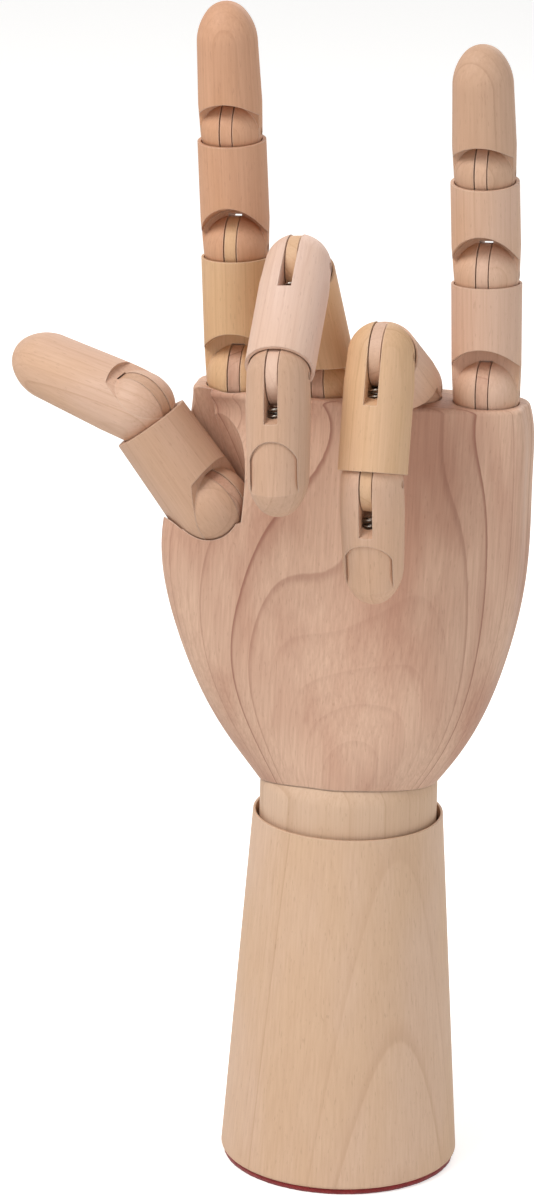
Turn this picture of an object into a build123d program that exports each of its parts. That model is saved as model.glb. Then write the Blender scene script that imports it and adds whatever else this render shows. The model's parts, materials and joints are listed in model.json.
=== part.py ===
"""A jointed wooden left hand on a tapered stand, with two fingers up and two folded.

Every knuckle is a slotted ball that turns on a steel pin through a wooden tongue. The tongue is glued
into a cup in the piece below, and a small spring in the knuckle presses on its edge.
Millimetres and degrees. The palm faces -Y, the thumb is on -X and the fingers point to +Z.
"""

import os
from math import acos, asin, cos, degrees, exp, pi, radians, sin, sqrt
from typing import NamedTuple

from build123d import *

# Stand and wrist
base_height = 92.0
base_bottom_radius = 30.0
base_edge_radius = 0.8
felt_thickness = 1.5
felt_inset = 0.6
seat_depth = 5.0
seat_rim = 0.6
seat_clearance = 1.0
wrist_show = 8.9
wrist_dome_radius = 24.0
wrist_dome_overhang = 1.8
wrist_rim_radius = 8.0
wrist_bore_radius = 5.5
wrist_tilt_limit = 15.0
body_gap = 0.3

# Spring that pulls the palm down on the stand
tie_wire_radius = 0.5
tie_coil_radius = 3.6
tie_turns = 20
tie_hook_room = 8.0
eye_radius = 3.0
eye_wire_radius = 0.8
eye_shank_radius = 1.4
eye_shank_depth = 14.0
bar_radius = 1.2
bar_length = 18.0
washer_radius = 11.0
washer_hole_radius = 5.5
washer_thickness = 1.2
counterbore_radius = 13.0
counterbore_depth = 9.0
hook_gap = 0.15

# Joints
joint_clearance = 0.3
relief_clearance = 0.35
relief_length = 32.0
ball_relief = 0.15
tongue_thickness = 2.8
tongue_inset = 0.45
slot_clearance = 0.25
slot_over_tongue = 0.35
slot_back_rise = 6.5
slot_reach = 4.0
root_width = 6.8
root_depth = 3.0
glue_gap = 0.05
pin_radius = 1.0
pin_fit = 0.02
pin_running = 0.06
pin_inset = 0.9

# Friction springs in the knuckles
spring_wire_radius = 0.3
spring_coil_radius = 1.45
spring_turns = 3
spring_pitch = 1.55
spring_bore_gap = 0.2
spring_offset = 3.0

# Fingertips and nails
nail_width = 11.4
nail_length = 17.5
nail_step = 0.3
nail_slope = 4.0
nail_top_round = 4.0
nail_overrun = 1.0
tip_side_radius = 12.5
tip_end_share = 0.8

# Palm: its heights are taken from the rim of the wrist barrel
palm_rise = 98.9
palm_edge_radius = 1.2
palm_skirt = 6.9
thenar_direction = 221.0
thenar_spread = 36.0
hollow_offset = 5.0
hollow_spread = 17.0
outline_points = 24


class PalmSection(NamedTuple):
    """Half-sizes of the palm at a height over the wrist, with its hollow and its thumb mound."""

    height: float
    right: float
    left: float
    front: float
    back: float
    squareness: float
    hollow: float
    mound: float


palm_sections = [
    PalmSection(-palm_skirt, 17.8, 18.8, 18.2, 18.2, 1.8, 0.0, 0.0),
    PalmSection(2.1, 23.4, 25.2, 21.0, 20.6, 1.8, 0.0, 0.0),
    PalmSection(13.1, 30.6, 32.7, 20.8, 20.0, 2.1, 0.8, 0.8),
    PalmSection(29.1, 37.0, 38.4, 19.5, 18.0, 2.5, 4.0, 4.5),
    PalmSection(46.1, 41.0, 41.6, 17.0, 15.5, 2.9, 5.5, 8.0),
    PalmSection(63.1, 42.5, 42.2, 14.5, 13.5, 3.5, 5.0, 9.6),
    PalmSection(81.1, 42.4, 42.6, 11.8, 11.6, 4.4, 2.0, 2.5),
    PalmSection(palm_rise, 40.9, 41.0, 10.4, 10.4, 4.6, 0.0, 0.0),
]


class Knuckle(NamedTuple):
    """The ball at the lower end of a phalanx and the rim that it turns in."""

    radius: float
    rim_drop: float
    relief_radius: float
    relief_bend: float


class Phalanx(NamedTuple):
    """One finger bone above its knuckle: length to the next pin, bend in this pose, and radii."""

    name: str
    length: float
    bend: float
    shoulder_radius: float
    end_radius: float
    knuckle: Knuckle


class Digit(NamedTuple):
    """A finger or thumb: its name, its socket plane in the palm and its phalanges."""

    name: str
    socket: Plane
    phalanges: list


# Radii and heights that follow from the sizes above
wrist_radius = wrist_dome_radius - wrist_dome_overhang
base_top_radius = wrist_radius + seat_clearance + seat_rim
wrist_bottom = base_height - seat_depth + body_gap
wrist_rim = base_height + wrist_show
tilt_height = wrist_rim - sqrt(wrist_dome_radius**2 - wrist_radius**2)
dome_top = tilt_height + wrist_dome_radius
washer_top = felt_thickness + counterbore_depth - body_gap
bar_height = washer_top - washer_thickness - hook_gap - bar_radius
palm_top = wrist_rim + palm_rise

# Radii of the fingers' three kinds of phalanx, shoulder then far end
proximal_radii = (8.5, 8.6)
middle_radii = (8.4, 8.35)
distal_radii = (7.75, 7.35)
shoulder_height = 7.0
thumb_proximal_radii = (10.1, 9.7)
thumb_distal_radii = (9.0, 8.3)

base_knuckle = Knuckle(8.2, 2.2, 10.9, 98.0)
middle_knuckle = Knuckle(8.0, 2.2, proximal_radii[1] + relief_clearance, 106.0)
tip_knuckle = Knuckle(7.5, 2.2, middle_radii[1] + relief_clearance, 88.0)
thumb_base_knuckle = Knuckle(10.3, 3.6, 12.2, 66.0)
thumb_tip_knuckle = Knuckle(9.0, 5.0, thumb_proximal_radii[1] + relief_clearance, 70.0)

# Height of the finger pins over the palm's top
socket_rise = 2.2


def bent(frame, angle):
    """A frame turned about its own pin, so that its axis swings towards the pad side."""
    turn = radians(angle)
    return Plane(
        origin=frame.origin,
        x_dir=frame.x_dir,
        z_dir=frame.z_dir * cos(turn) - frame.y_dir * sin(turn),
    )


def finger(name, across, splay, twist, lengths, bends):
    """A finger whose pin is at `across`, leaning `splay` degrees to +X, its pad turned `twist` to -X."""
    lean = radians(splay)
    turn = radians(twist)
    socket = Plane(
        origin=(across, 0, palm_top + socket_rise),
        x_dir=(cos(lean) * cos(turn), -sin(turn), -sin(lean) * cos(turn)),
        z_dir=(sin(lean), 0, cos(lean)),
    )
    kinds = [
        ("proximal", *proximal_radii, base_knuckle),
        ("middle", *middle_radii, middle_knuckle),
        ("distal", *distal_radii, tip_knuckle),
    ]
    bones = [
        Phalanx(kind, length, bend, shoulder, end, knuckle)
        for (kind, shoulder, end, knuckle), length, bend in zip(kinds, lengths, bends)
    ]
    return Digit(name, socket, bones)


fingers = [
    finger("index", -30.1, -2.8, 0.0, (32.2, 29.0, 32.0), (0.0, 3.6, 1.5)),
    finger("middle", -9.0, -5.0, 2.0, (38.1, 33.0, 33.2), (30.6, 97.5, 36.5)),
    finger("ring", 12.0, -1.0, 2.6, (35.0, 30.2, 31.1), (63.5, 100.5, 23.0)),
    finger("pinky", 31.1, -2.2, 0.0, (29.4, 25.4, 31.7), (-2.0, 7.4, 1.2)),
]

# Thumb: it leans outwards in the plane of the palm and its pad is turned towards the front
thumb_across = -34.9
thumb_front = -9.4
thumb_rise = 69.9
thumb_origin = (thumb_across, thumb_front, wrist_rim + thumb_rise)
thumb_lean = 37.5
thumb_turn = 30.0
thumb_bend = -30.0
thumb_lengths = (30.1, 37.2)
thumb_tip_bend = -42.5
thumb_ledge_radius = 11.4
thumb_ledge_drop = 0.8
thumb_ledge_tilt = 10.5
thumb_ledge_length = 30.0
thumb_ledge_taper = 10.5
thumb_ledge_height = 30.0
thumb_sweep_length = 36.0
thumb_sweep_gap = 0.5
thumb_sweep_radius = thumb_base_knuckle.radius + thumb_sweep_gap

thumb_axis = Vector(-sin(radians(thumb_lean)), 0, cos(radians(thumb_lean)))
thumb_inward = Vector(cos(radians(thumb_lean)), 0, sin(radians(thumb_lean)))
thumb_back = Vector(0, 1, 0) * sin(radians(thumb_turn)) - thumb_inward * cos(radians(thumb_turn))
thumb_rest = Plane(origin=thumb_origin, x_dir=thumb_back.cross(thumb_axis), z_dir=thumb_axis)
thumb = Digit(
    "thumb",
    bent(thumb_rest, -thumb_bend),
    [
        Phalanx("proximal", thumb_lengths[0], thumb_bend, *thumb_proximal_radii, thumb_base_knuckle),
        Phalanx("distal", thumb_lengths[1], thumb_tip_bend, *thumb_distal_radii, thumb_tip_knuckle),
    ],
)
digits = [*fingers, thumb]

os.makedirs("parts", exist_ok=True)


def write(piece, name):
    """Label a finished piece and write it as its own file."""
    piece.part.label = name
    export_step(piece.part, f"parts/{name}.step")


def side_plane(frame):
    """The plane through a frame's axis with radius along its X and height along its Y."""
    return Plane(origin=frame.origin, x_dir=frame.x_dir, z_dir=frame.y_dir * -1)


def hinge_plane(frame):
    """The plane that a joint swings in, with the back of the finger along its X."""
    return Plane(origin=frame.origin, x_dir=frame.y_dir, z_dir=frame.x_dir)


def cup_radius(knuckle):
    """Radius of the cup that a knuckle turns in."""
    return knuckle.radius + joint_clearance


def tongue_radius(knuckle):
    """Radius of the tongue inside a knuckle's slot."""
    return knuckle.radius - tongue_inset


def spring_frame(frame):
    """The frame of a knuckle's spring, nearer the back of the finger than its axis."""
    return Plane(
        origin=frame.origin + frame.y_dir * spring_offset,
        x_dir=frame.x_dir,
        z_dir=frame.z_dir,
    )


def spring_start(knuckle):
    """Height of a friction spring's lower end above its pin."""
    return tongue_radius(knuckle) + body_gap


def spring_length():
    """Length of a friction spring over its end turns."""
    return spring_turns * spring_pitch + 2 * spring_wire_radius


def build_mortise(socket, knuckle):
    """The pocket that holds a tongue's root."""
    depth = cup_radius(knuckle) + root_depth + glue_gap
    with BuildPart() as mortise:
        with BuildSketch(socket.offset(-depth)):
            Rectangle(tongue_thickness + 2 * glue_gap, root_width + 2 * glue_gap)
        extrude(amount=root_depth + root_width / 2)
    return mortise.part


def wire_nodes_to_path(nodes):
    """Join points with directions by pairs of tangent arcs, in the line that is being built."""
    for (start, heading), (end, arriving) in zip(nodes, nodes[1:]):
        span = end - start
        both = heading + arriving
        bend = 2 * (1 - heading.dot(arriving))
        along = span.dot(both)
        if bend < 1e-9:
            reach = span.dot(span) / (2 * along)
        else:
            reach = (sqrt(along**2 + bend * span.dot(span)) - along) / bend
        near = start + heading * reach
        far = end - arriving * reach
        middle = (near + far) * 0.5
        for first, last, direction in ((start, middle, heading), (middle, end, far - near)):
            if (last - first).get_angle(direction) < 1e-3:
                Line(first, last)
            else:
                TangentArc(first, last, tangent=direction)


def coil_nodes(frame, coil_radius, pitch, turns, start_height):
    """Points and directions of a coil about a frame's axis, two for each turn."""
    rise = pitch / (2 * pi)
    nodes = []
    for step in range(2 * turns + 1):
        angle = pi * step
        side = frame.x_dir * cos(angle) + frame.y_dir * sin(angle)
        forward = frame.y_dir * cos(angle) - frame.x_dir * sin(angle)
        place = frame.origin + side * coil_radius + frame.z_dir * (start_height + rise * angle)
        heading = (forward * coil_radius + frame.z_dir * rise).normalized()
        nodes.append((place, heading))
    return nodes


def least_turn_gap(coil_radius, pitch, wire_radius):
    """The least gap between neighbouring turns of a coil, measured on points."""
    points = [
        Vector(coil_radius * cos(t), coil_radius * sin(t), pitch * t / (2 * pi))
        for t in (pi * k / 18 for k in range(73))
    ]
    gaps = [(points[0] - point).length for point in points[18:]]
    return min(gaps) - 2 * wire_radius


def build_relief(frame, knuckle):
    """The hollow on the pad side that lets the piece below pass when the joint bends."""
    start = knuckle.rim_drop - relief_clearance
    below = bent(frame, -knuckle.relief_bend)
    with BuildPart(below.offset(-start)) as relief:
        Cylinder(
            knuckle.relief_radius,
            relief_length,
            align=(Align.CENTER, Align.CENTER, Align.MAX),
        )
        with Locations((0, 0, start)):
            Sphere(knuckle.radius - ball_relief, mode=Mode.SUBTRACT)
    return relief.part


def build_knuckle_room(frame, knuckle):
    """The tongue slot, pin hole and spring bore of a knuckle."""
    reach = knuckle.radius + slot_reach
    slot_end = tongue_radius(knuckle) + slot_over_tongue
    with BuildPart() as room:
        with BuildSketch(hinge_plane(frame)):
            Circle(slot_end)
            Polygon(
                (-reach, -reach),
                (reach, -reach),
                (reach, slot_end + slot_back_rise),
                (0, slot_end),
                (0, 0),
                (-reach, 0),
                align=None,
            )
        extrude(amount=tongue_thickness / 2 + slot_clearance, both=True)
        blind_end = knuckle.radius - pin_inset + body_gap
        with BuildSketch(hinge_plane(frame).offset(-blind_end)):
            Circle(pin_radius + pin_running)
        extrude(amount=blind_end + reach)
        with BuildSketch(spring_frame(frame).offset(tongue_radius(knuckle))):
            Circle(spring_coil_radius + spring_wire_radius + spring_bore_gap)
        extrude(amount=body_gap + spring_length() + glue_gap)
    return room.part


def build_phalanx(frame, bone, next_knuckle):
    """A phalanx with a cup at its far end for the next knuckle."""
    ball = bone.knuckle.radius
    cup = cup_radius(next_knuckle)
    rim = bone.length - next_knuckle.rim_drop
    lip = sqrt(cup**2 - next_knuckle.rim_drop**2)
    lip_angle = -degrees(asin(next_knuckle.rim_drop / cup))
    relief = build_relief(frame, bone.knuckle)
    room = build_knuckle_room(frame, bone.knuckle)
    mortise = build_mortise(frame.offset(bone.length), next_knuckle)
    with BuildPart() as phalanx:
        with BuildSketch(side_plane(frame)):
            with BuildLine():
                CenterArc((0, 0), ball, -90, 90)
                Polyline(
                    (ball, 0),
                    (bone.shoulder_radius, shoulder_height),
                    (bone.end_radius, rim),
                    (lip, rim),
                )
                CenterArc((0, bone.length), cup, lip_angle, -90 - lip_angle)
                Line((0, bone.length - cup), (0, -ball))
            make_face()
        revolve(axis=Axis(frame.origin, frame.z_dir))
        add(relief, mode=Mode.SUBTRACT)
        add(room, mode=Mode.SUBTRACT)
        add(mortise, mode=Mode.SUBTRACT)
    return phalanx


def build_nail(frame, bone):
    """The shallow bed of a fingernail, deeper towards the tip."""
    base = bone.length - nail_length
    floor = bone.end_radius - nail_step
    bed_plane = bent(frame.offset(base), nail_slope)
    with BuildPart() as nail:
        with BuildSketch(side_plane(frame)):
            with BuildLine():
                half = nail_width / 2
                shoulder = base + nail_top_round
                top = bone.length + nail_overrun
                Line((-half, shoulder), (-half, top))
                Line((-half, top), (half, top))
                Line((half, top), (half, shoulder))
                ThreePointArc((half, shoulder), (0, base), (-half, shoulder))
            make_face()
        extrude(amount=-2 * bone.shoulder_radius)
        with BuildSketch(bed_plane):
            Circle(floor)
        extrude(amount=2 * nail_length, both=True, mode=Mode.SUBTRACT)
    return nail.part


def build_tip(frame, bone):
    """The last phalanx, with its rounded end and its nail."""
    ball = bone.knuckle.radius
    end = tip_end_share * bone.end_radius
    meeting = degrees(acos((tip_side_radius - bone.end_radius) / (tip_side_radius - end)))
    dome_start = bone.length - end - (tip_side_radius - end) * sin(radians(meeting))
    relief = build_relief(frame, bone.knuckle)
    room = build_knuckle_room(frame, bone.knuckle)
    nail = build_nail(frame, bone)
    with BuildPart() as tip:
        with BuildSketch(side_plane(frame)):
            with BuildLine():
                CenterArc((0, 0), ball, -90, 90)
                Polyline((ball, 0), (bone.shoulder_radius, shoulder_height), (bone.end_radius, dome_start))
                CenterArc((bone.end_radius - tip_side_radius, dome_start), tip_side_radius, 0, meeting)
                CenterArc((0, bone.length - end), end, meeting, 90 - meeting)
                Line((0, bone.length), (0, -ball))
            make_face()
        revolve(axis=Axis(frame.origin, frame.z_dir))
        add(relief, mode=Mode.SUBTRACT)
        add(room, mode=Mode.SUBTRACT)
        add(nail, mode=Mode.SUBTRACT)
    return tip


def build_tongue(socket, knuckle):
    """The flat wooden tongue that stands in a cup and carries the pin."""
    foot = cup_radius(knuckle) + root_depth
    with BuildPart() as tongue:
        with BuildSketch(hinge_plane(socket)):
            Circle(tongue_radius(knuckle))
            Rectangle(root_width, foot, align=(Align.CENTER, Align.MAX))
            Circle(pin_radius + pin_fit, mode=Mode.SUBTRACT)
        extrude(amount=tongue_thickness / 2, both=True)
    return tongue


def build_pins(joints):
    """The steel pins of the given sockets."""
    with BuildPart() as pins:
        for socket, knuckle in joints:
            with BuildSketch(hinge_plane(socket)):
                Circle(pin_radius)
            extrude(amount=knuckle.radius - pin_inset, both=True)
    return pins


def build_spring(frame, knuckle):
    """The small coil that presses on a tongue's edge."""
    start = spring_start(knuckle) + spring_wire_radius
    nodes = coil_nodes(spring_frame(frame), spring_coil_radius, spring_pitch, spring_turns, start)
    with BuildPart() as spring:
        with BuildLine() as path:
            wire_nodes_to_path(nodes)
        with BuildSketch(Plane(origin=path.line @ 0, z_dir=path.line % 0)):
            Circle(spring_wire_radius)
        sweep(path=path.line)
    return spring


# Stand
with BuildPart() as base:
    with BuildSketch(Plane.XZ):
        with BuildLine():
            seat_radius = base_top_radius - seat_rim
            seat_floor = base_height - seat_depth
            ceiling = felt_thickness + counterbore_depth
            Polyline(
                (counterbore_radius, felt_thickness),
                (base_bottom_radius, felt_thickness),
                (base_top_radius, base_height),
                (seat_radius, base_height),
                (seat_radius, seat_floor),
                (wrist_bore_radius, seat_floor),
                (wrist_bore_radius, ceiling),
                (counterbore_radius, ceiling),
                close=True,
            )
        make_face()
    revolve(axis=Axis.Z)
    bottom_edge = base.edges().filter_by(GeomType.CIRCLE).sort_by(SortBy.RADIUS)[-1]
    fillet(bottom_edge, base_edge_radius)
write(base, "base")

with BuildPart() as felt_pad:
    with BuildSketch():
        Circle(base_bottom_radius - felt_inset)
    extrude(amount=felt_thickness)
write(felt_pad, "felt_pad")

# Wrist barrel: a cylinder in the stand's seat, with a dome that the palm tilts on
funnel_radius = wrist_bore_radius + wrist_dome_radius * sin(radians(wrist_tilt_limit))
with BuildPart() as wrist_barrel:
    with BuildSketch(Plane.XZ):
        with BuildLine():
            funnel_top = tilt_height + sqrt(wrist_dome_radius**2 - funnel_radius**2)
            start_angle = degrees(asin((wrist_rim - tilt_height) / wrist_dome_radius))
            end_angle = degrees(asin((funnel_top - tilt_height) / wrist_dome_radius))
            Polyline(
                (funnel_radius, funnel_top),
                (wrist_bore_radius, tilt_height),
                (wrist_bore_radius, wrist_bottom),
                (wrist_radius, wrist_bottom),
                (wrist_radius, wrist_rim),
            )
            CenterArc((0, tilt_height), wrist_dome_radius, start_angle, end_angle - start_angle)
        make_face()
    revolve(axis=Axis.Z)
    rim_edge = wrist_barrel.edges().filter_by_position(Axis.Z, wrist_rim - body_gap, wrist_rim + body_gap)
    fillet(rim_edge, wrist_rim_radius)
write(wrist_barrel, "wrist_barrel")

# Spring from the bar under the stand to the eye under the palm
eye_low = tilt_height - eye_radius
hook_radius = eye_wire_radius + hook_gap + tie_wire_radius
foot_radius = bar_radius + hook_gap + tie_wire_radius
coil_start = bar_height + tie_hook_room
coil_end = eye_low - tie_hook_room
tie_pitch = (coil_end - coil_start) / tie_turns
up = Vector(0, 0, 1)
across = Vector(1, 0, 0)
with BuildPart() as wrist_spring:
    with BuildLine() as tie_path:
        foot_nodes = [
            (Vector(-foot_radius, 0, bar_height + bar_radius), up * -1),
            (Vector(-foot_radius, 0, bar_height), up * -1),
            (Vector(0, 0, bar_height - foot_radius), across),
            (Vector(foot_radius, 0, bar_height), up),
        ]
        head_nodes = [
            (Vector(hook_radius, 0, eye_low), up),
            (Vector(0, 0, eye_low + hook_radius), across * -1),
            (Vector(-hook_radius, 0, eye_low), up * -1),
            (Vector(-hook_radius, 0, eye_low - eye_wire_radius), up * -1),
        ]
        coil = coil_nodes(Plane.XY, tie_coil_radius, tie_pitch, tie_turns, coil_start)
        wire_nodes_to_path([*foot_nodes, *coil, *head_nodes])
    with BuildSketch(Plane(origin=tie_path.line @ 0, z_dir=tie_path.line % 0)):
        Circle(tie_wire_radius)
    sweep(path=tie_path.line)
write(wrist_spring, "wrist_spring")

with BuildPart() as spring_bar:
    with BuildSketch(Plane.XZ.offset(-bar_length / 2)):
        with Locations((0, bar_height)):
            Circle(bar_radius)
    extrude(amount=bar_length)
write(spring_bar, "spring_bar")

with BuildPart() as spring_washer:
    with BuildSketch(Plane.XY.offset(washer_top - washer_thickness)):
        Circle(washer_radius)
        Circle(washer_hole_radius, mode=Mode.SUBTRACT)
    extrude(amount=washer_thickness)
write(spring_washer, "spring_washer")

with BuildPart() as wrist_eye:
    with BuildSketch(Plane.XY.offset(tilt_height + eye_radius)):
        Circle(eye_shank_radius)
    extrude(amount=dome_top - tilt_height - eye_radius + eye_shank_depth)
    with BuildSketch(Plane.XZ):
        with Locations((0, tilt_height - eye_radius)):
            Circle(eye_wire_radius)
    revolve(axis=Axis((0, 0, tilt_height), (1, 0, 0)))
write(wrist_eye, "wrist_eye")


def outline_point(section, turn):
    """A point of the palm's outline at one height, `turn` degrees round from +X."""
    power = 2 / section.squareness
    c = cos(radians(turn))
    s = sin(radians(turn))
    half_width = section.right if c > 0 else section.left
    half_depth = section.back if s > 0 else section.front
    x = half_width * abs(c) ** power * (1 if c > 0 else -1)
    y = half_depth * abs(s) ** power * (1 if s > 0 else -1)
    mound = section.mound * exp(-(((turn - thenar_direction) / thenar_spread) ** 2))
    hollow = section.hollow * exp(-(((x - hollow_offset) / hollow_spread) ** 2)) if s < 0 else 0
    heading = radians(thenar_direction)
    return (x + mound * cos(heading), y + mound * sin(heading) + hollow)


# Room for the thumb: it swings from its place here round to its socket's axis, over a flat ledge
ledge_turn = radians(thumb_ledge_tilt)
thumb_ledge = Plane(origin=thumb_origin, x_dir=(1, 0, 0), z_dir=(0, -sin(ledge_turn), cos(ledge_turn)))
with BuildPart() as thumb_room:
    with BuildSketch(thumb_rest):
        Circle(thumb_sweep_radius)
    extrude(amount=thumb_sweep_length)
    with BuildSketch(side_plane(thumb_rest)):
        Rectangle(2 * thumb_sweep_radius, thumb_sweep_length, align=(Align.CENTER, Align.MIN))
    revolve(axis=Axis(thumb_rest.origin, thumb_rest.x_dir), revolution_arc=-thumb_bend)
    with BuildSketch(thumb_ledge.offset(-thumb_ledge_drop)):
        Circle(thumb_ledge_radius)
    extrude(amount=thumb_ledge_height, taper=thumb_ledge_taper)
    with BuildSketch(thumb_ledge.offset(-thumb_ledge_drop)):
        Rectangle(
            thumb_ledge_length,
            2 * thumb_ledge_radius,
            rotation=thenar_direction,
            align=(Align.MIN, Align.CENTER),
        )
    extrude(amount=thumb_sweep_length)

with BuildPart() as palm:
    for section in palm_sections:
        with BuildSketch(Plane.XY.offset(wrist_rim + section.height)):
            with BuildLine():
                Spline(
                    *[outline_point(section, 360 * k / outline_points) for k in range(outline_points)],
                    periodic=True,
                )
            make_face()
    loft()
    fillet(palm.faces().sort_by(Axis.Z)[-1].edges(), palm_edge_radius)
    add(thumb_room.part, mode=Mode.SUBTRACT)
    with Locations((0, 0, tilt_height)):
        Sphere(wrist_dome_radius + body_gap, mode=Mode.SUBTRACT)
    with Locations((0, 0, dome_top)):
        Cylinder(
            eye_shank_radius + glue_gap,
            eye_shank_depth + glue_gap,
            align=(Align.CENTER, Align.CENTER, Align.MIN),
            mode=Mode.SUBTRACT,
        )
    for digit in digits:
        with Locations(digit.socket.origin):
            Sphere(cup_radius(digit.phalanges[0].knuckle), mode=Mode.SUBTRACT)
        add(build_mortise(digit.socket, digit.phalanges[0].knuckle), mode=Mode.SUBTRACT)
write(palm, "palm")
write(build_pins([(digit.socket, digit.phalanges[0].knuckle) for digit in digits]), "palm_pins")

# Fingers and thumb, each piece on the end of the one below
place_names = {"proximal": "base", "middle": "middle", "distal": "tip"}
for digit in digits:
    socket = digit.socket
    for number, bone in enumerate(digit.phalanges):
        frame = bent(socket, bone.bend)
        place = f"{digit.name}_{place_names[bone.name]}"
        write(build_tongue(socket, bone.knuckle), f"{place}_tongue")
        write(build_spring(frame, bone.knuckle), f"{place}_spring")
        if number > 0:
            write(build_pins([(socket, bone.knuckle)]), f"{place}_pin")
        if bone.name == "distal":
            write(build_tip(frame, bone), f"{digit.name}_distal")
        else:
            next_knuckle = digit.phalanges[number + 1].knuckle
            write(build_phalanx(frame, bone, next_knuckle), f"{digit.name}_{bone.name}")
        socket = frame.offset(bone.length)

friction_gap = least_turn_gap(spring_coil_radius, spring_pitch, spring_wire_radius)
tie_gap = least_turn_gap(tie_coil_radius, tie_pitch, tie_wire_radius)
print(f"least gap between turns: friction springs {friction_gap:.2f} mm, wrist spring {tie_gap:.2f} mm")
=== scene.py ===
# %% [markdown]
# # Finishing a jointed wooden hand in Blender
#
# A wooden hand mannequin is a drawing aid: turned and carved pieces of one pale hardwood, hung together
# on steel pins, on a stand with a felt foot. Its shapes are already solid models, so this lesson is
# about surfaces and light. We load the solids, give each piece its own grain, finish the steel and the
# felt, and photograph the hand on a white table.

import json
import math

import bmesh
import bpy
from mathutils import Matrix, Vector

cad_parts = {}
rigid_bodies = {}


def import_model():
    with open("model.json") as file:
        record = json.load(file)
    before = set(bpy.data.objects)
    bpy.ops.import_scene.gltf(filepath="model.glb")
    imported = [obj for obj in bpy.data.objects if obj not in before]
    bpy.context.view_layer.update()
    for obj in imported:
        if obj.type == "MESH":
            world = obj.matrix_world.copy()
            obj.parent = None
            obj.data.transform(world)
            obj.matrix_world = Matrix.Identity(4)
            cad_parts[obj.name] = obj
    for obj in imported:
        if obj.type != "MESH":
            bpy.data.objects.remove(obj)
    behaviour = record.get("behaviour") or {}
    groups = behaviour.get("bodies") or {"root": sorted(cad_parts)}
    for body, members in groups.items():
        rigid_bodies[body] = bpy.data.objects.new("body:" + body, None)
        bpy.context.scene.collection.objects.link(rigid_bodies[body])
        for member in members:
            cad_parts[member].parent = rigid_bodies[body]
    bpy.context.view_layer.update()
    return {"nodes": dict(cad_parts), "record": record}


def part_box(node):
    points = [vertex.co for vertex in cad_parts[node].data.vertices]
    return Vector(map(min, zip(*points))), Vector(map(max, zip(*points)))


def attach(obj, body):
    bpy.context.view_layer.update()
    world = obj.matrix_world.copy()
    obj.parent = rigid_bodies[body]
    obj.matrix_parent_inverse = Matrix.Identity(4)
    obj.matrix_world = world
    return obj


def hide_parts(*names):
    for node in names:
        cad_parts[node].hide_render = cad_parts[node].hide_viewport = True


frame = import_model()
record = frame["record"]
bodies = record["behaviour"]["bodies"]
joints = record["behaviour"]["joints"]

# %% [markdown]
# ## Two small tools
#
# Colours are read off a picture as sRGB hex, but shaders want linear light, so one function turns the
# one into the other. A second function adds a shader node, sets its options, and fills its inputs: what
# comes from another node is linked, and anything else is a plain value. An input goes by its label, or by
# its number where Blender gives several inputs one label. The function hands back the node's outputs, so
# a chain of nodes reads like a chain of sums.


# %% Colour and node helpers
def srgb(text):
    """An sRGB hex colour as linear RGBA."""
    parts = [int(text[k : k + 2], 16) / 255 for k in (1, 3, 5)]
    return [c / 12.92 if c <= 0.04045 else ((c + 0.055) / 1.055) ** 2.4 for c in parts] + [1.0]


def node(tree, kind, inputs=None, **settings):
    """Add a node to a tree, with its settings, values and links, and return its outputs."""
    made = tree.nodes.new("ShaderNode" + kind)
    for key, value in settings.items():
        setattr(made, key, value)
    for key, value in (inputs or {}).items():
        if isinstance(value, bpy.types.NodeSocket):
            tree.links.new(value, made.inputs[key])
        else:
            made.inputs[key].default_value = value
    return made.outputs


def new_material(name):
    """An empty material and its node tree."""
    material = bpy.data.materials.new(name)
    material.use_nodes = True
    material.node_tree.nodes.clear()
    return material, material.node_tree


# %% [markdown]
# ## Sanded schima wood
#
# Hands like this are made of schima or a similar pale, close-grained hardwood, sanded and left without
# varnish. A painted texture would have to be unwrapped on every piece. Wood is a solid pattern, so we
# build it in space instead: each growth ring is a tube round the pith of the tree, and its colour
# depends only on the distance from that line. Wherever a carved face cuts the tubes at a slant, arches
# and contour lines appear by themselves, as they do on the hollow of the real palm.
#
# The pattern is laid out in millimetres. A Mapping node in texture mode takes the piece's place and
# direction, and its scale of 0.001 turns metres into millimetres. Sizes of patterns are given twice
# across the grain and once along it. A tree doesn't grow evenly, so the tubes drift slowly from side to
# side, and the last part of each ring, the late wood, is darker in some years than in others. The four
# small tables below are for Map Range nodes: a change starts at input 1 and ends at input 2, and goes
# from the value of input 3 to that of input 4.

# %% Growth rings
drift_size = (35.0, 35.0, 130.0)
late_wood = {1: 0.80, 2: 0.955, 3: 0.0, 4: 0.78}
whole_ring = {1: 0.10, 2: 0.95, 3: 0.0, 4: 0.22}
winter = {1: 0.96, 2: 1.0, 3: 1.0, 4: 0.0}
weak_years = {1: 0.3, 2: 1.0, 3: 0.12, 4: 1.0}


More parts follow.
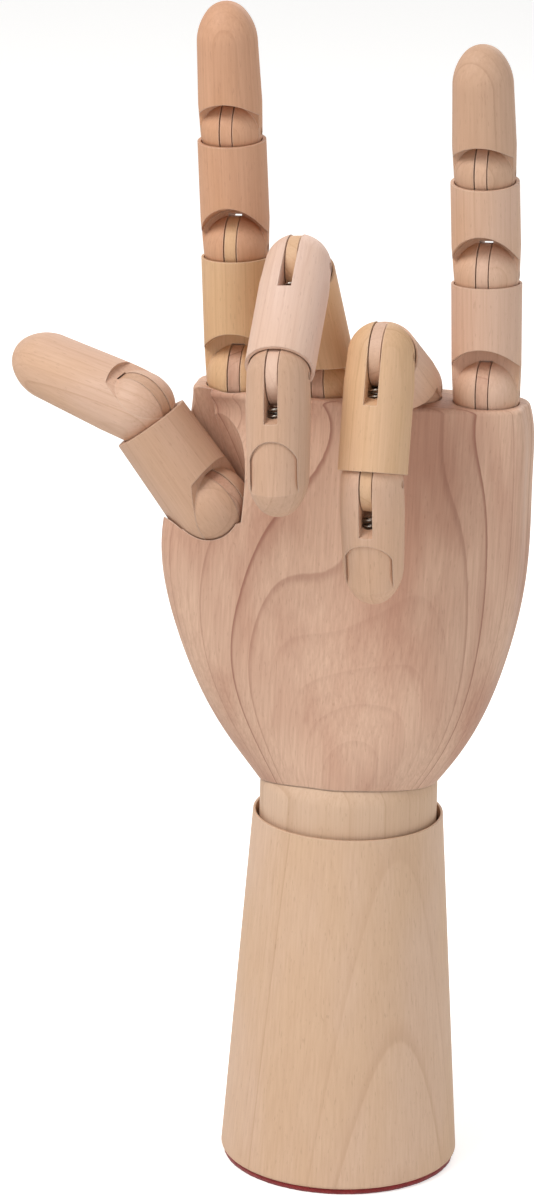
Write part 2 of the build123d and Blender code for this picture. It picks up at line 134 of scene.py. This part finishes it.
def ring_lines(tree, local, ring_width, sway):
    """How dark the late wood is at each point, from 0 to 1, with rings `ring_width` millimetres wide."""
    slow = node(tree, "VectorMath", {0: local, 1: drift_size}, operation="DIVIDE")[0]
    drift = node(tree, "TexNoise", {"Vector": slow, "Scale": 1.0, "Detail": 1.0})["Color"]
    drift = node(tree, "VectorMath", {0: drift, 1: (0.5, 0.5, 0.5)}, operation="SUBTRACT")[0]
    drift = node(tree, "VectorMath", {0: drift, 1: (sway, sway, 0.0)}, operation="MULTIPLY")[0]
    bent = node(tree, "VectorMath", {0: local, 1: drift}, operation="ADD")[0]
    flat = node(tree, "VectorMath", {0: bent, 1: (1.0, 1.0, 0.0)}, operation="MULTIPLY")[0]
    radius = node(tree, "VectorMath", {0: flat}, operation="LENGTH")["Value"]
    ring = node(tree, "Math", {0: radius, 1: ring_width}, operation="DIVIDE")[0]
    phase = node(tree, "Math", {0: ring}, operation="FRACT")[0]
    number = node(tree, "Math", {0: ring}, operation="FLOOR")[0]
    year = node(tree, "TexWhiteNoise", {"W": number}, noise_dimensions="1D")["Value"]
    smooth = {"interpolation_type": "SMOOTHSTEP"}
    broad = node(tree, "MapRange", {0: phase, **whole_ring}, **smooth)[0]
    line = node(tree, "MapRange", {0: phase, **late_wood}, **smooth)[0]
    close = node(tree, "MapRange", {0: phase, **winter}, **smooth)[0]
    strength = node(tree, "MapRange", {0: year, **weak_years})[0]
    dark = node(tree, "Math", {0: broad, 1: line}, operation="ADD")[0]
    dark = node(tree, "Math", {0: dark, 1: close}, operation="MULTIPLY")[0]
    return node(tree, "Math", {0: dark, 1: strength}, operation="MULTIPLY")[0]


# %% [markdown]
# Over the rings lie the fibres, long streaks about half a millimetre wide, and the pores, short dark
# dashes. Real pores are a tenth of a millimetre wide and would vanish in the picture, so they are drawn
# about three times too coarse. Slow clouds shift the tone from pinker to yellower. The Bevel node gives
# the normal of a slightly rounded edge: we use it for the shading, and where it turns away from the true
# normal the wood is painted paler. This is a painted highlight along every edge and rim.

# %% Wood
fibre_size, fibre_strength = (0.6, 0.6, 22.0), 0.34
hair_size = (0.18, 0.18, 4.5)
pore_size, pore_strength, pore_brown = (0.3, 0.3, 2.2), 0.16, "#855a43"
cloud_size = (17.0, 17.0, 50.0)
# The paler edges are a painted highlight: edges and rims turn a light cream where the rounded normal
# turns away.
edge_radius, edge_highlight_strength, highlight_cream = 0.00035, 0.45, "#ecd6c2"
grain_relief = 0.00012


def sanded_schima(name, origin, axes, pith, rings, colours):
    """Pale sanded hardwood with its grain along the third of `axes`.

    The pith lies `pith` millimetres from `origin` along the other two. `rings` holds the width of the
    rings, their strength and their sway, and `colours` the early wood, the clouds and the late wood.
    """
    ring_width, ring_depth, sway = rings
    early, cloudy, late = (srgb(colour) for colour in colours)
    material, tree = new_material(name)
    place = node(tree, "TexCoord")["Object"]
    heart = Vector(origin) + (Vector(axes[0]) * pith[0] + Vector(axes[1]) * pith[1]) * 0.001
    turned = Matrix(axes).transposed().to_euler()
    metres = {"Vector": place, "Location": heart, "Rotation": turned, "Scale": (0.001, 0.001, 0.001)}
    local = node(tree, "Mapping", metres, vector_type="TEXTURE")[0]
    dark = ring_lines(tree, local, ring_width, sway)

    streaks = node(tree, "VectorMath", {0: local, 1: fibre_size}, operation="DIVIDE")[0]
    fibre = node(tree, "TexNoise", {"Vector": streaks, "Scale": 1.0, "Detail": 3.0, "Roughness": 0.6})[0]
    hairs = node(tree, "VectorMath", {0: local, 1: hair_size}, operation="DIVIDE")[0]
    fine = node(tree, "TexNoise", {"Vector": hairs, "Scale": 1.0, "Detail": 2.0})[0]
    dashes = node(tree, "VectorMath", {0: local, 1: pore_size}, operation="DIVIDE")[0]
    pore = node(tree, "TexNoise", {"Vector": dashes, "Scale": 1.0, "Detail": 0.0})[0]
    pore = node(tree, "MapRange", {0: pore, 1: 0.70, 2: 0.80}, interpolation_type="SMOOTHSTEP")[0]
    clouds = node(tree, "VectorMath", {0: local, 1: cloud_size}, operation="DIVIDE")[0]
    cloud = node(tree, "TexNoise", {"Vector": clouds, "Scale": 1.0, "Detail": 2.0})[0]
    cloud = node(tree, "MapRange", {0: cloud, 1: 0.35, 2: 0.65}, interpolation_type="SMOOTHSTEP")[0]

    mix = {"data_type": "RGBA"}
    colour = node(tree, "Mix", {0: cloud, 6: early, 7: cloudy}, **mix)[2]
    share = node(tree, "Math", {0: dark, 1: ring_depth}, operation="MULTIPLY")[0]
    colour = node(tree, "Mix", {0: share, 6: colour, 7: late}, **mix)[2]
    share = node(tree, "MapRange", {0: fibre, 1: 0.25, 2: 0.75, 3: 0.0, 4: fibre_strength})[0]
    colour = node(tree, "Mix", {0: share, 6: colour, 7: late}, **mix)[2]
    share = node(tree, "Math", {0: pore, 1: pore_strength}, operation="MULTIPLY")[0]
    colour = node(tree, "Mix", {0: share, 6: colour, 7: srgb(pore_brown)}, **mix)[2]

    rounded = node(tree, "Bevel", {"Radius": edge_radius}, samples=4)[0]
    true_normal = node(tree, "NewGeometry")["Normal"]
    # Painted highlight: the colour moves towards a light cream along edges and rims.
    facing = node(tree, "VectorMath", {0: rounded, 1: true_normal}, operation="DOT_PRODUCT")["Value"]
    edge = node(tree, "MapRange", {0: facing, 1: 0.995, 2: 0.90, 3: 0.0, 4: edge_highlight_strength})[0]
    colour = node(tree, "Mix", {0: edge, 6: colour, 7: srgb(highlight_cream)}, **mix)[2]

    relief = node(tree, "Math", {0: fine, 1: 0.6, 2: fibre}, operation="MULTIPLY_ADD")[0]
    relief = node(tree, "Math", {0: relief, 1: pore}, operation="SUBTRACT")[0]
    bump = {"Height": relief, "Strength": 0.22, "Distance": grain_relief, "Normal": rounded}
    grain = node(tree, "Bump", bump)[0]
    rough = node(tree, "MapRange", {0: fine, 1: 0.3, 2: 0.7, 3: 0.50, 4: 0.64})[0]
    finish = {"Base Color": colour, "Roughness": rough, "Normal": grain, "Specular IOR Level": 0.35}
    surface = node(tree, "BsdfPrincipled", finish)["BSDF"]
    node(tree, "OutputMaterial", {"Surface": surface})
    return material


# %% [markdown]
# ### A stick for each bone
#
# The bones are turned from separate sticks, so no two show the same grain. The grain of a bone runs
# from its own pin to the next pin, or to the middle of a fingertip. Each pith lies to another side, by
# the golden angle, and at one of four distances, so neighbours never repeat. The sticks also differ in
# colour: five shades, each with its early wood, its clouds and its late wood, are dealt out as they lie
# in the photograph. The shades are partly the sticks' own tone and partly painted light. The pale shade
# of the middle finger's middle bone is partly a painted highlight for the light on its top. The lighter
# honey shade of the index's lowest bone is painted light against the shade it lies in.


# %% Grain of the fingers and thumb
def grain_axes(along, across):
    """Three axes with the grain along the third and the first near `across`."""
    along = Vector(along).normalized()
    side = (Vector(across) - along * along.dot(Vector(across))).normalized()
    return [side, along.cross(side), along]


shades = {
    "pale": ("#e3c3ae", "#e7cbbc", "#c69d87"),
    "peach": ("#dab497", "#ddbba5", "#b68d71"),
    "honey": ("#ddb68d", "#dfba98", "#ba8f66"),
    "sand": ("#cfaa8f", "#d3b098", "#ab856a"),
    "tan": ("#d1a07d", "#d5a687", "#ad7b5a"),
}
# Partly painted light: the middle finger's middle bone is pale partly for the light on its top, and the
# index's lowest bone is honey to lift it out of shade.
finger_shades = {
    "index": {"proximal": "honey", "middle": "tan", "distal": "tan"},
    "middle": {"proximal": "honey", "middle": "pale", "distal": "sand"},
    "ring": {"proximal": "peach", "middle": "honey", "distal": "peach"},
    "pinky": {"proximal": "peach", "middle": "peach", "distal": "sand"},
    "thumb": {"proximal": "sand", "distal": "peach"},
}
bone_rings = (2.4, 0.42, 4.0)
nearest_pith, pith_step = 18, 5
golden_angle = math.radians(137.5)
pin_of = {joint["child"]: joint for joint in joints}
next_pin = {joint["parent"]: joint for joint in joints}
bones = [body for body in pin_of if body.split("_")[0] in finger_shades]
woods = {}
for number, bone in enumerate(bones):
    start = Vector(pin_of[bone]["pos_m"])
    low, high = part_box(bone)
    end = Vector(next_pin[bone]["pos_m"]) if bone in next_pin else (Vector(low) + Vector(high)) / 2
    reach = nearest_pith + pith_step * (number % 4)
    pith = (reach * math.cos(number * golden_angle), reach * math.sin(number * golden_angle))
    axes = grain_axes(end - start, pin_of[bone]["axis"])
    digit, segment = bone.split("_")
    colours = shades[finger_shades[digit][segment]]
    woods[bone] = sanded_schima(f"{bone}_schima", start, axes, pith, bone_rings, colours)
print(len(woods), "sticks of wood for the bones")

# %% [markdown]
# ### Palm, wrist and stand
#
# The palm is carved from one thick plank with the pith far in front of it, so its rings lie nearly flat
# under the front face: they show as close lines along both sides and as wide arches in the middle. The
# stand and the barrel are turned from plainer, yellower wood. The stand's pith lies behind it to the
# left, so its left half has straight lines, and arches stand at the right, where it is farthest from the
# pith and its taper cuts the rings one by one.

# %% Grain of the large pieces
upright = grain_axes((0.0, 0.0, 1.0), (1.0, 0.0, 0.0))
plank = grain_axes((0.02, 0.03, 1.0), (1.0, 0.0, 0.0))
woods["palm"] = sanded_schima(
    "palm_schima",
    origin=(0.012, 0.0, 0.150),
    axes=plank,
    pith=(0, -92.6),
    rings=(1.9, 0.90, 3.0),
    colours=("#dfbca3", "#c89d86", "#925f4e"),
)
woods["wrist"] = sanded_schima(
    "barrel_schima",
    origin=(0.0, 0.0, 0.095),
    axes=upright,
    pith=(30, 30),
    rings=(3.2, 0.40, 4.0),
    colours=("#d9b99c", "#dcbea5", "#b89273"),
)
woods["stand"] = sanded_schima(
    "stand_schima",
    origin=(0.0, 0.0, 0.050),
    axes=upright,
    pith=(-43, 50),
    rings=(3.0, 0.60, 3.0),
    colours=("#dbba9c", "#debfa6", "#ba9375"),
)
print("grain laid out for palm, barrel and stand")

# %% [markdown]
# ## Drawn steel
#
# The pins, springs and hooks are plain steel wire. Drawing leaves fine streaks, which the eye sees as
# an uneven gloss, and wire that has lain in wood dulls in patches. Steel is a metal, so its colour is
# its reflection: metallic is 1 and the default IOR stays.


# %% Steel
def drawn_steel():
    """Steel wire with streaky gloss and dull patches."""
    material, tree = new_material("drawn_steel")
    place = node(tree, "TexCoord")["Object"]
    streaks = node(tree, "TexNoise", {"Vector": place, "Scale": 1400.0, "Detail": 3.0})[0]
    rough = node(tree, "MapRange", {0: streaks, 1: 0.3, 2: 0.7, 3: 0.24, 4: 0.44})[0]
    patches = node(tree, "TexNoise", {"Vector": place, "Scale": 160.0, "Detail": 2.0})[0]
    dull = node(tree, "MapRange", {0: patches, 1: 0.4, 2: 0.7})[0]
    colour = node(tree, "Mix", {0: dull, 6: srgb("#b5b1aa"), 7: srgb("#8b8378")}, data_type="RGBA")[2]
    finish = {"Base Color": colour, "Roughness": rough, "Metallic": 1.0}
    node(tree, "OutputMaterial", {"Surface": node(tree, "BsdfPrincipled", finish)["BSDF"]})
    return material


# %% Give every solid its finish
steel = drawn_steel()
slot_of = {entry["node"]: entry["material_slot"] for entry in record["subparts"]}
for body, names in bodies.items():
    for name in names:
        slots = frame["nodes"][name].data.materials
        slots.clear()
        slots.append(steel if slot_of[name] == "steel" else woods[body])
print(sum(slot == "steel" for slot in slot_of.values()), "steel pieces and the rest wood")

# %% [markdown]
# ## Felt foot
#
# A disc of red felt is glued under the stand, and only its edge shows. A plain disc has an edge as sharp
# as sheet metal. Ours is spun from a half profile with rounded lips, and its rim is pressed in here and
# there by less than a fifth of a millimetre, as felt is when it is punched from a sheet.

# %% Spin the felt foot
low, high = (Vector(corner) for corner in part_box("felt_pad"))
felt_radius = (high.x - low.x) / 2
felt_top = high.z
lip = 0.0004
spin_steps = 180
rim_share = 0.9
press_depth = 0.00003
half_profile = [
    (0.0, felt_top),
    (felt_radius - 2 * lip, felt_top),
    (felt_radius - 0.3 * lip, felt_top - 0.3 * lip),
    (felt_radius, felt_top / 2),
    (felt_radius - 0.3 * lip, 0.3 * lip),
    (felt_radius - 2 * lip, 0.0),
    (0.0, 0.0),
]
disc = bmesh.new()
line = [disc.verts.new((radius, 0.0, height)) for radius, height in half_profile]
edges = [disc.edges.new(pair) for pair in zip(line, line[1:])]
bmesh.ops.spin(
    disc,
    geom=line + edges,
    cent=(0, 0, 0),
    axis=(0, 0, 1),
    angle=2 * math.pi,
    steps=spin_steps,
    use_merge=True,
)
bmesh.ops.remove_doubles(disc, verts=disc.verts, dist=1e-6)
bmesh.ops.recalc_face_normals(disc, faces=disc.faces)
for vert in disc.verts:
    outward = Vector((vert.co.x, vert.co.y, 0.0))
    if outward.length > rim_share * felt_radius:
        angle = math.atan2(outward.y, outward.x)
        press = 3 + math.sin(23 * angle) + math.sin(57 * angle + 1.3) + math.sin(91 * angle + 0.4)
        vert.co -= outward.normalized() * press_depth * press
for face in disc.faces:
    face.smooth = True
felt_mesh = bpy.data.meshes.new("felt_foot")
disc.to_mesh(felt_mesh)
disc.free()
felt_foot = bpy.data.objects.new("felt_foot", felt_mesh)
bpy.context.collection.objects.link(felt_foot)
print("felt foot", round(2000 * felt_radius, 1), "mm across,", len(felt_mesh.polygons), "faces")

# %% [markdown]
# Pressed wool is a mat of hairs, so it has no highlight of its own: the roughness is near 1, a little
# sheen stands for the loose hairs, and a bump of 0.4 mm makes the nap.


# %% Felt
def pressed_felt():
    """Red wool felt."""
    material, tree = new_material("pressed_felt")
    place = node(tree, "TexCoord")["Object"]
    hairs = node(tree, "TexNoise", {"Vector": place, "Scale": 2600.0, "Detail": 4.0, "Roughness": 0.7})[0]
    lumps = node(tree, "TexNoise", {"Vector": place, "Scale": 320.0, "Detail": 2.0})[0]
    share = node(tree, "MapRange", {0: hairs, 1: 0.3, 2: 0.7})[0]
    colour = node(tree, "Mix", {0: share, 6: srgb("#7e1f22"), 7: srgb("#ad3a3a")}, data_type="RGBA")[2]
    share = node(tree, "MapRange", {0: lumps, 1: 0.3, 2: 0.7, 3: 0.0, 4: 0.35})[0]
    colour = node(tree, "Mix", {0: share, 6: colour, 7: srgb("#6a1a1d")}, data_type="RGBA")[2]
    nap = node(tree, "Bump", {"Height": hairs, "Strength": 0.7, "Distance": 0.0004})[0]
    finish = {"Base Color": colour, "Roughness": 0.95, "Normal": nap, "Sheen Weight": 0.3}
    node(tree, "OutputMaterial", {"Surface": node(tree, "BsdfPrincipled", finish)["BSDF"]})
    return material


felt_mesh.materials.append(pressed_felt())
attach(felt_foot, "stand")
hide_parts("felt_pad")
print("felt foot rides on the stand")

# %% [markdown]
# ## White table
#
# The photograph is a product shot on white. More light would bleach the wood, so the whiteness is kept
# out of the lighting: the floor and the world only look brighter to the camera, which the Light Path
# node tells apart. Reflections see the white room too, so the steel has something to mirror.

# %% Floor and surroundings
floor_half, floor_glow = 4.0, 0.50
room_light, room_seen = 0.40, 1.0
material, tree = new_material("white_table")
seen = node(tree, "LightPath")
glow = node(tree, "Math", {0: seen["Is Camera Ray"], 1: floor_glow}, operation="MULTIPLY")[0]
finish = {"Base Color": srgb("#f2f1ef"), "Roughness": 0.9, "Emission Color": srgb("#ffffff")}
surface = node(tree, "BsdfPrincipled", {**finish, "Emission Strength": glow})["BSDF"]
node(tree, "OutputMaterial", {"Surface": surface})
table = bmesh.new()
bmesh.ops.create_grid(table, x_segments=1, y_segments=1, size=floor_half)
floor_mesh = bpy.data.meshes.new("floor")
table.to_mesh(floor_mesh)
table.free()
floor_mesh.materials.append(material)
floor = bpy.data.objects.new("floor", floor_mesh)
bpy.context.collection.objects.link(floor)

scene = bpy.context.scene
scene.view_settings.view_transform = "Standard"
scene.world = bpy.data.worlds.new("white_room")
scene.world.use_nodes = True
tree = scene.world.node_tree
tree.nodes.clear()
seen = node(tree, "LightPath")
direct = node(tree, "Math", {0: seen["Is Camera Ray"], 1: seen["Is Glossy Ray"]}, operation="MAXIMUM")[0]
direct = node(tree, "Math", {0: direct, 1: seen["Is Transmission Ray"]}, operation="MAXIMUM")[0]
strength = node(tree, "MapRange", {0: direct, 3: room_light, 4: room_seen})[0]
sky = node(tree, "Background", {"Color": srgb("#ffffff"), "Strength": strength})[0]
node(tree, "OutputWorld", {"Surface": sky})
print("white floor and room")

# %% [markdown]
# ## Soft lamps
#
# In the photograph the upper faces are the brightest and the left is a little lighter than the right,
# with soft shadows. That is one broad lamp, high at the left, a weak one at the right, and a third
# behind to keep the back readable when the hand is seen from other sides.

# %% Lamps
look_at = Vector((0.0, 0.0, 0.16))
lamps = {
    "key": ((-0.62, -0.60, 1.22), 0.7, 12.5, "#fffaf5"),
    "fill": ((0.95, -0.90, 0.45), 0.9, 3.3, "#fbfcff"),
    "back": ((0.30, 0.95, 0.85), 0.7, 4.0, "#ffffff"),
}
for name, (place, size, power, colour) in lamps.items():
    lamp = bpy.data.lights.new(name, "AREA")
    lamp.size = size
    lamp.energy = power
    lamp.color = srgb(colour)[:3]
    holder = bpy.data.objects.new(name, lamp)
    holder.location = place
    holder.rotation_euler = (look_at - Vector(place)).to_track_quat("-Z", "Y").to_euler()
    bpy.context.collection.objects.link(holder)
print("lamps:", ", ".join(lamps))

# %% [markdown]
# ## Camera
#
# The camera was found by fitting: its distance, height, turn and roll make the pins and the rims of the
# stand fall where they do in the photograph. The target is not in the middle of that picture, so the
# camera is turned a degree aside. A lens shift would do the same here but would push the hand out of
# the middle in every other view.

# %% Camera
picture_height = 1200
target = Vector((0.0, 0.0, 0.150))
distance = 1.200
azimuth, elevation, roll = (math.radians(angle) for angle in (10.0, 16.72, 1.68))
pixels_per_metre = 4044
target_right, target_up = 87.5, 12.2
focal = pixels_per_metre * distance
ahead = Vector((
    -math.sin(azimuth) * math.cos(elevation),
    math.cos(azimuth) * math.cos(elevation),
    -math.sin(elevation),
))
level = Vector((math.cos(azimuth), math.sin(azimuth), 0.0))
upward = level.cross(ahead)
right = level * math.cos(roll) + upward * math.sin(roll)
up = upward * math.cos(roll) - level * math.sin(roll)
aim = (ahead * focal - right * target_right - up * target_up).normalized()
side = aim.cross(up).normalized()
portrait = bpy.data.cameras.new("portrait")
portrait.lens = focal / picture_height * portrait.sensor_width
camera = bpy.data.objects.new("portrait", portrait)
camera.location = target - ahead * distance
camera.rotation_mode = "QUATERNION"
camera.rotation_quaternion = Matrix((side, side.cross(aim), -aim)).transposed().to_quaternion()
bpy.context.collection.objects.link(camera)
scene.camera = camera
spot = [round(value, 3) for value in camera.location]
print("camera at", spot, "with a lens of", round(portrait.lens, 1), "mm")
